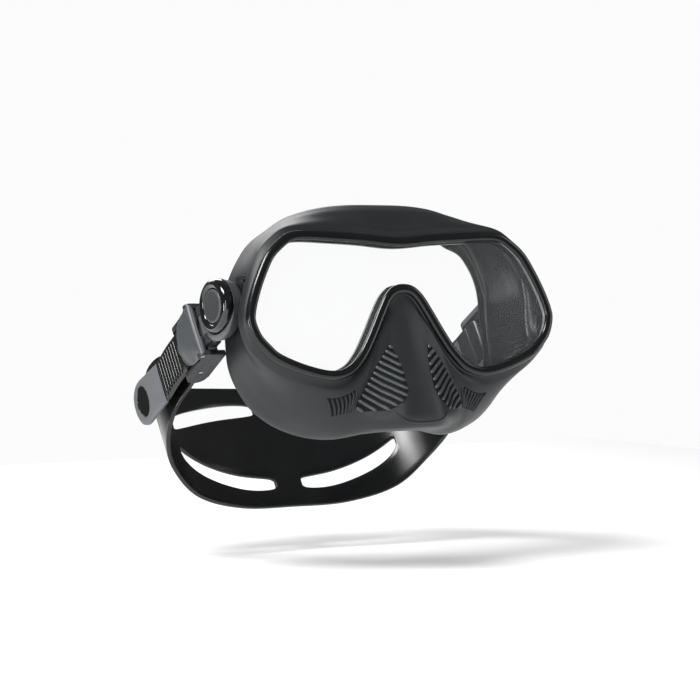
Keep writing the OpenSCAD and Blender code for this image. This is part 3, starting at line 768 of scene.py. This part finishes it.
def bezel(side, sign):
    """The rounded ring round the button."""
    profile = [(BUTTON_R + 0.3, 9.0), (BUTTON_R + 0.3, 10.3), (BUTTON_R + 0.45, 10.65),
               (BUTTON_R + 0.8, 10.95), (BUTTON_R + 1.3, 11.2), (BUTTON_R + 1.9, BEZEL_N - 0.04),
               (BEZEL_R - 1.9, BEZEL_N), (BEZEL_R - 1.2, 11.2),
               (BEZEL_R - 0.65, 10.8), (BEZEL_R - 0.25, 10.2), (BEZEL_R - 0.05, 9.5), (BEZEL_R, 8.8),
               (BEZEL_R, 7.1), (BEZEL_R - 0.15, 6.75), (BEZEL_R - 0.5, 6.65), (BUTTON_R + 0.7, 6.65),
               (BUTTON_R + 0.7, 9.0)]
    piece = ring_piece("bezel_ring_" + side, profile, turned(sign), [MATERIALS["bezel"]])
    settle(piece, "buckle_" + side, "bezel_" + side)


def button(side, sign):
    """The release button, dished, with a raised edge."""
    top = 10.9
    profile = [(0.02, 9.25), (0.02, top - 0.28), (2, top - 0.26), (4, top - 0.18), (5.3, top - 0.08),
               (5.9, top - 0.02), (6.3, top), (6.65, top - 0.06), (6.9, top - 0.25), (BUTTON_R, top - 0.55),
               (BUTTON_R, 9.45), (BUTTON_R - 0.2, 9.25)]
    bands = [0] * 5 + [1] * 4 + [0] * 3
    piece = ring_piece("release_button_" + side, profile, turned(sign),
                       [MATERIALS["button"], MATERIALS["plastic"]], bands)
    settle(piece, "button_" + side, "button_" + side)


def bowl_profile(swell):
    """The bowl's section as (n, radius); swell is 1 where it bulges and 0 on the other side."""
    return [(1.35, 4.2), (1.35, 9.2), (2.2, 10.0 + 0.6 * swell), (3.3, 10.5 + 1.5 * swell),
            (4.5, 10.7 + 2.4 * swell), (5.4 + 0.6 * swell, 10.8 + 3.0 * swell),
            (6.0 + 1.8 * swell, 10.9 + 3.3 * swell), (6.4 + 2.7 * swell, 11.1 + 3.2 * swell),
            (6.6 + 3.1 * swell, 11.2 + 2.6 * swell), (6.6 + 3.2 * swell, 11.2 + 0.5 * swell),
            (6.6, 10.6), (6.6, 7.6), (5.3, 7.6), (5.3, 4.2)]


def cup(side, sign):
    """The smooth bowl that holds the ring, swollen on its lower side."""
    down = math.atan2(-ACROSS.z, -ALONG.z)
    steps = 96
    sections = []
    for k in range(steps):
        angle = 2 * math.pi * k / steps
        swell = max(0.0, math.cos(angle - down)) ** 1.3
        sections.append([place(sign, n, r * math.cos(angle), r * math.sin(angle))
                         for n, r in bowl_profile(swell)])
    piece = loft("buckle_cup_" + side, sections, [MATERIALS["plastic"]])
    settle(piece, "buckle_" + side, "housing_" + side)


def neck(side, sign):
    """The short neck from the bowl to its barrel, and the barrel."""
    turns = [2 * math.pi * i / 32 for i in range(32)]
    sections = []
    for u, low, high, half in ((8.5, 1.4, 5.6, 4.1), (10.5, 1.4, 5.9, 4.2), (12.6, 2.2, 7.8, 4.2),
                               (BARREL_U, BARREL_N - 2.9, BARREL_N + 2.9, 4.25)):
        sections.append([place(sign, lerp(low, high, 0.5 + 0.5 * math.sin(a)), u,
                               max(-half, min(half, half * 1.3 * math.cos(a)))) for a in turns])
    piece = loft("buckle_neck_" + side, sections, [MATERIALS["plastic"]], closed=False, caps=True)
    settle(piece, "buckle_" + side)
    barrel("buckle_barrel_" + side, sign, "buckle_" + side, (BARREL_N, BARREL_U, BARREL_R),
           (-BARREL_HALF, BARREL_HALF))


def about(sign, n, u):
    """Puts a lathe point on an axis across the buckle, at n and u."""
    return lambda r, w, angle: place(sign, n + r * math.cos(angle), u + r * math.sin(angle), w)


def barrel(name, sign, body, axis, ends):
    """A round bar across the buckle with softened ends. axis is its n, u and radius."""
    n, u, r = axis
    w0, w1 = ends
    soft = 0.35
    profile = [(0.02, w0), (r - soft, w0), (r - 0.1, w0 + 0.1), (r, w0 + soft), (r, w1 - soft),
               (r - 0.1, w1 - 0.1), (r - soft, w1), (0.02, w1)]
    piece = ring_piece(name, profile, about(sign, n, u), [MATERIALS["plastic"]], steps=48)
    settle(piece, body)


def lever_row(sign, u, cols):
    """One row of the lever's cover at u: its outside, and its underside clear of the tail."""
    first, last, bend = LEVER_U - 2.25, LEVER_U + LEVER_LENGTH, LEVER_U + 3.0
    reach = max(0.0, (u - bend) / (last - bend))
    half = LEVER_HALF * (0.12 + 0.88 * max(0.0, 1 - reach ** 2.6) ** 0.45)
    if u < LEVER_U:
        crown = LEVER_N + math.sqrt(max(0.0, 2.3 ** 2 - (u - LEVER_U) ** 2))
    else:
        crown = LEVER_N + 2.3 + 0.9 * math.sin(math.pi * min(1, (u - LEVER_U) / 13))
    crown -= 0.9 * smooth(last - 6, last, u)
    fall = 0.25 + 2.1 * smooth(LEVER_U - 1, LEVER_U + 5, u)
    over_tail = smooth(LEVER_U + 1, LEVER_U + 3, u)
    floor = LEVER_N - 0.1
    top, low = [], []
    for j in range(cols + 1):
        b = -math.cos(math.pi * j / cols)
        off_tail = smooth(STRAP_HALF + 0.2, STRAP_HALF + 1.4, abs(b * half))
        under = floor + (TAIL_TOP - floor) * over_tail * (1 - off_tail)
        if u < LEVER_U:
            under -= 1.2 * smooth(first, LEVER_U, u)
        n = max(crown - fall * abs(b) ** 3, under + 0.35 * over_tail)
        top.append(place(sign, n, u, b * half))
        low.append(place(sign, min(n - 0.25, under), u, b * half * 0.985))
    return top, low


def lever_cover(side, sign):
    """The quick-adjust lever's rounded cover."""
    rows, cols = 44, 40
    first, last = LEVER_U - 2.25, LEVER_U + LEVER_LENGTH
    cuts = [lever_row(sign, lerp(first, last, 0.5 - 0.5 * math.cos(math.pi * i / rows)), cols)
            for i in range(rows + 1)]
    sheet = slab("lever_cover_" + side, [top for top, _ in cuts], [low for _, low in cuts],
                 [MATERIALS["plastic"]])
    settle(bevel(sheet, 0.15, 2, 45), "lever_" + side, "lever_" + side)


def lever_ends(side, sign):
    """The lever's two barrels on its pin, with a dark bush at each outer end."""
    for end, way in (("front", 1), ("back", -1)):
        w0, w1 = way * 11.0, way * 11.9
        barrel("lever_barrel_" + end + "_" + side, sign, "lever_" + side, (LEVER_N, LEVER_U, LEVER_R),
               sorted((way * 3.2, w0)))
        round_off = lerp(w0, w1, 0.7)
        bush = ring_piece("lever_bush_" + end + "_" + side,
                          [(1.1, w0), (2.1, w0), (2.1, round_off), (1.8, w1), (1.35, w1),
                           (1.1, round_off)], about(sign, LEVER_N, LEVER_U), [MATERIALS["rim"]], steps=40)
        settle(bush, "lever_" + side)


def softened(name, body, look, width_mm):
    """A copy of a hard CAD node with its edges rounded, in its place."""
    mesh = frame["nodes"][name].data.copy()
    work = bmesh.new()
    work.from_mesh(mesh)
    bmesh.ops.remove_doubles(work, verts=work.verts, dist=2e-6)
    bmesh.ops.dissolve_limit(work, angle_limit=math.radians(2), verts=work.verts, edges=work.edges)
    work.to_mesh(mesh)
    work.free()
    mesh.materials.clear()
    mesh.materials.append(MATERIALS[look])
    piece = bpy.data.objects.new(name + "_softened", mesh)
    bpy.context.collection.objects.link(piece)
    bevel(piece, width_mm, 3, 38)
    settle(piece, body, name)


def roller_ribs(side, sign):
    """Fine ribs along the roller that bite the strap's teeth."""
    lines = []
    for i in range(16):
        a = 2 * math.pi * i / 16
        lines.append([place(sign, ROLL_N + ROLLER_R * math.cos(a), ROLL_U + ROLLER_R * math.sin(a), w)
                      for w in (-9.4, 0, 9.4)])
    # The ribs take the darker nylon, painted shade on the roller.
    piece = ribs("roller_ribs_" + side, lines, 0.2, MATERIALS["dark"], 0.02, 6)
    settle(piece, "roller_" + side)


# ---- strap ----

START = Vector((SWIVEL.x + STANDING_N, JOIN_U + GAP))
PANEL_HALF = 30.5
SLOT_FROM, SLOT_TO, SLOT_HALF = 4.7, 6.75, 3.6
BOW = [START, START + Vector((0, 15)), Vector((START.x + 4, 62)), Vector((72.4, 76)), Vector((65.5, 88.5)),
       Vector((51, 99)), Vector((27, 105.6)), Vector((0, 107))]
WIDEN = [0, 0, 0.22, 0.4, 0.56, 0.86, 1, 1]
ARM_STEPS, CURVE_STEPS = 24, 120
# Cells across the strap: a margin, a slot, the middle, a slot, a margin.
STRAP_SPLIT = (5, 4, 6, 4, 5)


def strap_spread(q):
    """Half the strap's width at q: 0 at the roller, 7 at the middle of the back."""
    return STRAP_HALF + (PANEL_HALF - STRAP_HALF) * along(WIDEN, q)


def strap_drop(q):
    """How far the middle of the strap falls below its line as it widens."""
    return -9 * smooth(1, 5.5, q)


def strap_lines(q):
    """Heights across the strap at q: its edges, and both edges of each slot."""
    half, middle = strap_spread(q), strap_drop(q)
    t = min(1.0, max(0.0, (q - SLOT_FROM) / (SLOT_TO - SLOT_FROM)))
    centre = (0.25 + 0.37 * math.sin(math.pi / 2 * t) ** 0.8) * half
    wide = SLOT_HALF * (0.45 + 0.55 * math.sqrt(max(0.0, 1 - abs(2 * t - 1) ** 4)))
    if q < SLOT_FROM - 0.5:
        wide = 1
    return [middle + x for x in (-half, -centre - wide, -centre + wide, centre - wide, centre + wide, half)]


def strap_path():
    """The middle line of the right half as (x, u, q), from the roller to the middle of the back."""
    line = []
    for i in range(ARM_STEPS + CURVE_STEPS + 1):
        q = i / ARM_STEPS if i < ARM_STEPS else 1 + 6 * (i - ARM_STEPS) / CURVE_STEPS
        p = START.lerp(BOW[1], q) if q <= 1 else along(BOW, q, after=Vector((-27, 105.6)))
        line.append((p.x, p.y, q))
    return line


def strap():
    """The strap: two arms that widen into the slotted panel behind the head."""
    half_path = strap_path()
    path = half_path + [(-x, u, q) for x, u, q in half_path[-2::-1]]
    outer, inner = [], []
    for i, (x, u, q) in enumerate(path):
        x0, u0, _ = path[max(0, i - 1)]
        x1, u1, _ = path[min(len(path) - 1, i + 1)]
        way = Vector((x1 - x0, u1 - u0)).normalized()
        nx, nu = way.y * STRAP_THICK / 2, -way.x * STRAP_THICK / 2
        lines = strap_lines(q)
        heights = [lerp(lines[b], lines[b + 1], c / n) for b, n in enumerate(STRAP_SPLIT) for c in range(n)]
        heights.append(lines[-1])
        off = Vector((nx, 0, 0)) + ALONG * nu
        middle = [Vector((x, SWIVEL.y, SWIVEL.z)) + ALONG * u + ACROSS * w for w in heights]
        outer.append([centre + off for centre in middle])
        inner.append([centre - off for centre in middle])

    def is_open(i, j):
        ends = path[i][2], path[i + 1][2]
        return (5 <= j < 9 or 15 <= j < 19) and min(ends) >= SLOT_FROM and max(ends) <= SLOT_TO

    piece = slab("strap_band", outer, inner, [MATERIALS["strap"]], is_open=is_open)
    settle(bevel(piece, 0.5, 3, 50), "strap", "strap")


def strap_teeth(side, sign):
    """Fine ribs across the inner face of one arm, clear of the roller at either end of the slide."""
    path = strap_path()
    lines = []
    for k in range(14, ARM_STEPS + 24, 2):
        x, u, q = path[k]
        ahead, behind = path[k + 1], path[k - 1]
        way = Vector((ahead[0] - behind[0], ahead[1] - behind[1])).normalized()
        n, u = x - way.y * STRAP_THICK / 2 - SWIVEL.x, u + way.x * STRAP_THICK / 2
        edge = strap_spread(q) - 1.0
        lines.append([place(sign, n, u, strap_drop(q) + w) for w in (-edge, 0, edge)])
    # The teeth take the grip-rib tone, a painted highlight on their tops.
    teeth = ribs("strap_teeth_" + side, lines, 0.4, MATERIALS["rib"], 0.03, 8)
    settle(teeth, "strap")


TAIL_START = JOIN_U + GAP
TAIL_LENGTH = 40.0
GRIP_AT = TAIL_START + TAIL_LENGTH * 0.58
TAIL_END = TAIL_START + TAIL_LENGTH
SCOOP_U, SCOOP_LONG, SCOOP_WIDE, SCOOP_DEEP = GRIP_AT + 11.6, 3.3, 0.72, 0.7


def tail_middle(u):
    """The tail's middle line at u: how far out, and how far it droops."""
    out = FREE_N + 6 * smooth(GRIP_AT - 4, TAIL_END + 6, u)
    return out, -7.5 * (max(0.0, u - TAIL_START - 8) / TAIL_LENGTH) ** 1.6


def tail_half(u):
    """Half the tail's width at u, rounded at its end."""
    half = STRAP_HALF + 1.2 * smooth(GRIP_AT, TAIL_END, u)
    reach = max(0.0, (u - TAIL_END + 7) / 7)
    return half * (0.35 + 0.65 * math.sqrt(max(0.0, 1 - reach ** 2.5)))


def in_scoop(u, b):
    """Above 0 inside the thumb scoop, 1 at its middle."""
    return 1 - ((u - SCOOP_U) / SCOOP_LONG) ** 2 - (b / SCOOP_WIDE) ** 2


def tail(side, sign):
    """The free tail with its thickened thumb tab."""
    rows, cols = 90, 32
    outer, inner, spots = [], [], []
    for i in range(rows + 1):
        u = TAIL_START + TAIL_LENGTH * i / rows
        n, droop = tail_middle(u)
        step = 0.05
        slope = (tail_middle(u + step)[0] - n) / step
        length = math.hypot(1, slope)
        out_n, out_u = 1 / length, -slope / length
        half = tail_half(u)
        neck_in = smooth(GRIP_AT - 2.2, GRIP_AT - 1.2, u) * (1 - smooth(GRIP_AT - 0.8, GRIP_AT + 0.4, u))
        thick = 0.95 + 0.55 * smooth(GRIP_AT, GRIP_AT + 3, u) - 0.35 * neck_in
        top, low = [], []
        for j in range(cols + 1):
            b = -math.cos(math.pi * j / cols)
            rise = thick * (1 - 0.55 * abs(b) ** 6) - SCOOP_DEEP * math.sqrt(max(0.0, in_scoop(u, b)))
            w = droop + b * half
            top.append(place(sign, n + out_n * rise, u + out_u * rise, w))
            sink = (0.95 + 0.4 * smooth(GRIP_AT, TAIL_END, u)) * (1 - 0.4 * abs(b) ** 6)
            low.append(place(sign, n - out_n * sink, u - out_u * sink, w))
        outer.append(top)
        inner.append(low)
        spots.append(u)

    def finish(i, j):
        u = (spots[i] + spots[i + 1]) / 2
        b = -math.cos(math.pi * (j + 0.5) / cols)
        # The thumb scoop's floor takes the groove tone: painted shade in the hollow.
        if in_scoop(u, b) > 0:
            return 2
        return 1 if u > GRIP_AT - 0.6 else 0

    piece = slab("strap_tail_" + side, outer, inner,
                 [MATERIALS["strap"], MATERIALS["tab"], MATERIALS["groove"]], finish)
    settle(piece, "tail_" + side, "tail_" + side)
    tail_teeth(side, sign)


def tail_teeth(side, sign):
    """Round teeth across the free tail, before its tab."""
    lines = []
    count = sizes().tail_teeth
    for i in range(count):
        u = lerp(TAIL_START + 4.2, GRIP_AT - 3.2, i / (count - 1))
        n, droop = tail_middle(u)
        lines.append([place(sign, n + 0.85, u, droop + w) for w in (-8.2, -3, 3, 8.2)])
    teeth = ribs("tail_teeth_" + side, lines, 0.62, MATERIALS["strap"], 0.05, 8)
    settle(teeth, "tail_" + side)


def finish_frame_nodes():
    """Gives every shown CAD node its material."""
    # The mount, frame and roller nodes take the darker nylon, painted shade.
    looks = {"lens": "glass", "inner_frame": "steel", "mount": "dark", "post": "steel",
             "button_spring": "steel", "fold_pin": "steel", "frame": "dark", "lever_pin": "steel",
             "lever_spring": "steel", "roller": "dark", "axle": "steel", "strap_loop": "strap"}
    for name, node in frame["nodes"].items():
        look = looks.get(name) or looks.get(name.rsplit("_", 1)[0])
        if look:
            node.data.materials.clear()
            node.data.materials.append(MATERIALS[look])


# ---- stage ----

VIEW_AZIMUTH, VIEW_ELEVATION = math.radians(-32), math.radians(2)
VIEW_DISTANCE, VIEW_RIGHT, VIEW_UP = 1.0, 0.02167, 0.01667
LENS_MM, SENSOR_MM = 123.43, 36.0


def camera():
    """The view, a little to the left of straight on."""
    a, e = VIEW_AZIMUTH, VIEW_ELEVATION
    back = Vector((math.sin(a) * math.cos(e), -math.cos(a) * math.cos(e), math.sin(e)))
    right = (-back).cross(Vector((0, 0, 1))).normalized()
    up = right.cross(-back)
    data = bpy.data.cameras.new("view")
    data.lens, data.sensor_width, data.sensor_height = LENS_MM, SENSOR_MM, SENSOR_MM
    data.clip_start, data.clip_end = 0.01, 20
    eye = bpy.data.objects.new("view", data)
    bpy.context.collection.objects.link(eye)
    eye.location = Vector((0, -LENS_FRONT * MM, 0)) + back * VIEW_DISTANCE - right * VIEW_RIGHT - up * VIEW_UP
    eye.rotation_mode = "QUATERNION"
    eye.rotation_quaternion = (-back).to_track_quat("-Z", "Y")
    bpy.context.scene.camera = eye


def area_light(name, place_at, aim, width, height, power):
    """A soft box at a place, turned to face a point."""
    data = bpy.data.lights.new(name, "AREA")
    data.shape, data.size, data.size_y, data.energy = "RECTANGLE", width, height, power
    lamp = bpy.data.objects.new(name, data)
    bpy.context.collection.objects.link(lamp)
    lamp.location = place_at
    lamp.rotation_mode = "QUATERNION"
    lamp.rotation_quaternion = (Vector(aim) - Vector(place_at)).to_track_quat("-Z", "Y")


def stage():
    """A pale floor, an even room and five soft boxes."""
    half = 0.55
    low = CAD_BOX[0][2] - sizes().floor_drop
    mesh = bpy.data.meshes.new("floor")
    mesh.from_pydata([(-half, -half, low), (half, -half, low), (half, half, low), (-half, half, low)], [],
                     [(0, 1, 2, 3)])
    mesh.materials.append(MATERIALS["floor"])
    floor = bpy.data.objects.new("floor", mesh)
    bpy.context.collection.objects.link(floor)
    world = bpy.data.worlds.new("studio")
    bpy.context.scene.world = world
    world.use_nodes = True
    world.node_tree.nodes.clear()
    seen = add_node(world.node_tree, "ShaderNodeLightPath")
    strength = add_node(world.node_tree, "ShaderNodeMapRange",
                        inputs={"To Min": sizes().room_light, "To Max": 0.97},
                        links={"Value": seen.outputs["Is Camera Ray"]})
    light = add_node(world.node_tree, "ShaderNodeBackground", inputs={"Color": (1, 1, 1, 1)},
                     links={"Strength": strength.outputs[0]})
    add_node(world.node_tree, "ShaderNodeOutputWorld", links={"Surface": light.outputs[0]})
    area_light("key", (-0.6, -0.25, 0.85), (0, 0, 0), 0.5, 0.35, 13)
    area_light("strip", (-0.62, -0.95, 0.12), (-0.07, -0.02, 0), 0.1, 0.6, 2.5)
    area_light("low_left", (-0.95, -0.3, -0.05), (-0.05, 0, -0.02), 0.15, 0.3, 3.2)
    area_light("fill", (0.9, -0.55, 0.25), (0, 0, 0), 0.3, 0.8, 2.2)
    area_light("back", (0.1, 1.0, 0.6), (0, 0, 0), 1.0, 0.5, 6)
    bpy.context.scene.view_settings.view_transform = "Standard"


# ---- operators ----


class MASK_OT_materials(Operator):
    """Makes every material"""

    bl_idname = "mask.materials"
    bl_label = "Materials"

    def execute(self, context):
        make_materials()
        return {"FINISHED"}


class MASK_OT_skirt(Operator):
    """Makes the silicone skirt with its rim bead and seal lip"""

    bl_idname = "mask.skirt"
    bl_label = "Skirt"

    def execute(self, context):
        skirt()
        return {"FINISHED"}


class MASK_OT_grips(Operator):
    """Makes the ribs, grip patches, nose ledge and brow panel on the skirt"""

    bl_idname = "mask.grips"
    bl_label = "Grips and panels"

    def execute(self, context):
        nose_grips()
        cheek_grips()
        nose_ledge()
        brow_panel()
        wall_ribs()
        return {"FINISHED"}


class MASK_OT_buckles(Operator):
    """Makes the rings, buttons, cups, levers and roller ribs"""

    bl_idname = "mask.buckles"
    bl_label = "Buckles"

    def execute(self, context):
        for side, sign in SIDES.items():
            bezel(side, sign)
            button(side, sign)
            cup(side, sign)
            neck(side, sign)
            lever_cover(side, sign)
            lever_ends(side, sign)
            # The frame and the mount take the darker nylon, painted shade.
            softened("frame_" + side, "buckle_" + side, "dark", 0.5)
            softened("mount_" + side, "mask", "dark", 0.25)
            roller_ribs(side, sign)
        return {"FINISHED"}


class MASK_OT_strap(Operator):
    """Makes the strap with its rear panel and teeth"""

    bl_idname = "mask.strap"
    bl_label = "Strap"

    def execute(self, context):
        strap()
        for side, sign in SIDES.items():
            strap_teeth(side, sign)
        return {"FINISHED"}


class MASK_OT_tails(Operator):
    """Makes the free tails with their pull tabs"""

    bl_idname = "mask.tails"
    bl_label = "Tails"

    def execute(self, context):
        for side, sign in SIDES.items():
            tail(side, sign)
        return {"FINISHED"}


class MASK_OT_frame_nodes(Operator):
    """Finishes the lens, lugs, pins, springs, rollers and frames"""

    bl_idname = "mask.frame_nodes"
    bl_label = "Lens and hard parts"

    def execute(self, context):
        finish_frame_nodes()
        return {"FINISHED"}


class MASK_OT_stage(Operator):
    """Sets the floor, the lights and the camera"""

    bl_idname = "mask.stage"
    bl_label = "Stage"

    def execute(self, context):
        stage()
        camera()
        return {"FINISHED"}


class MASK_PT_panel(Panel):
    """Lists the mask's sizes and steps"""

    bl_label = "Diving mask"
    bl_idname = "MASK_PT_panel"
    bl_space_type = "VIEW_3D"
    bl_region_type = "UI"
    bl_category = "Diving mask"

    def draw(self, context):
        for name in MaskSizes.__annotations__:
            self.layout.prop(context.scene.mask_sizes, name)
        for step in STEPS:
            self.layout.operator(step.bl_idname)


STEPS = (MASK_OT_materials, MASK_OT_skirt, MASK_OT_grips, MASK_OT_buckles, MASK_OT_strap, MASK_OT_tails,
         MASK_OT_frame_nodes, MASK_OT_stage)
CLASSES = (MaskSizes,) + STEPS + (MASK_PT_panel,)


def register():
    for cls in CLASSES:
        bpy.utils.register_class(cls)
    bpy.types.Scene.mask_sizes = PointerProperty(type=MaskSizes)


def unregister():
    del bpy.types.Scene.mask_sizes
    for cls in reversed(CLASSES):
        bpy.utils.unregister_class(cls)


def main():
    register()
    for step in STEPS:
        group, name = step.bl_idname.split(".")
        getattr(getattr(bpy.ops, group), name)()


if __name__ == "__main__":
    main()
